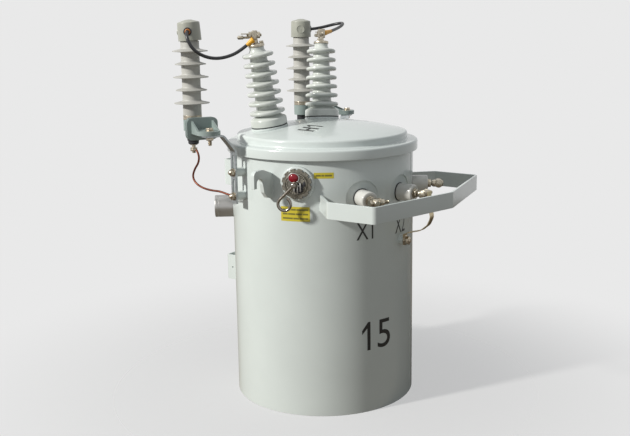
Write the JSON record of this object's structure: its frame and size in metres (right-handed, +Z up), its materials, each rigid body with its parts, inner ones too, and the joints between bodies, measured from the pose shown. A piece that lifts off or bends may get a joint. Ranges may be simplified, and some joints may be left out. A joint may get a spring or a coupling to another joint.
{
  "type": "pole mounted transformer",
  "caption": "Round oil-filled tank transformer for a pole, with leaning high-voltage bushings, arresters on bolted straps, low-voltage terminals behind a guard bar and a breaker handle.",
  "frame": {"origin": "centre of the tank's base, in the plane of its lower rim, on the floor", "axes": "+Z up along the tank; +Y towards the pole hangers; -Y towards the low-voltage terminals; +X to the right seen from the low-voltage side"},
  "size_m": [0.695, 0.718, 1.036],
  "materials": {
    "tank_paint": "semi-gloss light grey enamel",
    "gasket_rubber": "matt black",
    "glazed_porcelain": "gloss glaze",
    "grey_polymer": "satin",
    "moulded_grey_green": "satin, moulded",
    "cap_polymer": "satin",
    "black_moulding": "satin",
    "galvanised_steel": "satin, zinc coated",
    "zinc_hardware": "yellowish zinc plate",
    "tinned_bronze": "tinned, satin",
    "tinned_copper": "tinned, satin",
    "bare_copper": "stranded, dull",
    "black_cable": "satin insulation",
    "amber_sleeve": "satin",
    "red_lens": "gloss, translucent red",
    "breaker_metal": "satin, brownish grey",
    "bright_cap": "brushed"
  },
  "bodies": {
    "transformer": {"tank_shell": "tank_paint", "tank_bottom": "tank_paint", "cover": "tank_paint", "cover_gasket": "gasket_rubber", "hv_bushings": "glazed_porcelain", "hv_terminals": "tinned_bronze", "hv_gaskets": "gasket_rubber", "arrester_housings": "grey_polymer", "arrester_caps": "cap_polymer", "arrester_rings": "galvanised_steel", "arrester_brackets": "moulded_grey_green", "disconnectors": "black_moulding", "disconnector_studs": "zinc_hardware", "arrester_straps": "galvanised_steel", "strap_bosses": "tank_paint", "strap_bolts": "zinc_hardware", "bracket_bolts": "zinc_hardware", "arrester_lead_left": "black_cable", "arrester_lead_right": "black_cable", "ground_lead_left": "bare_copper", "lead_sleeves": "amber_sleeve", "lv_bushings": "glazed_porcelain", "lv_terminals": "tinned_bronze", "neutral_strap": "tinned_copper", "ground_bolt": "zinc_hardware", "guard_bar": "tank_paint", "lifting_lugs": "tank_paint", "hangers": "tank_paint", "breaker_plate": "breaker_metal", "breaker_dial": "breaker_metal", "signal_lens": "red_lens", "tap_changer_cap": "bright_cap"},
    "handle": {"breaker_handle": "breaker_metal"}
  },
  "joints": [
    {"name": "breaker_handle_turn", "type": "hinge", "parent": "transformer", "child": "handle", "pos_m": [-0.27063, -0.0985, 0.626], "axis": [-0.9397, -0.342, 0], "range_deg": [-90, 0]}
  ]
}
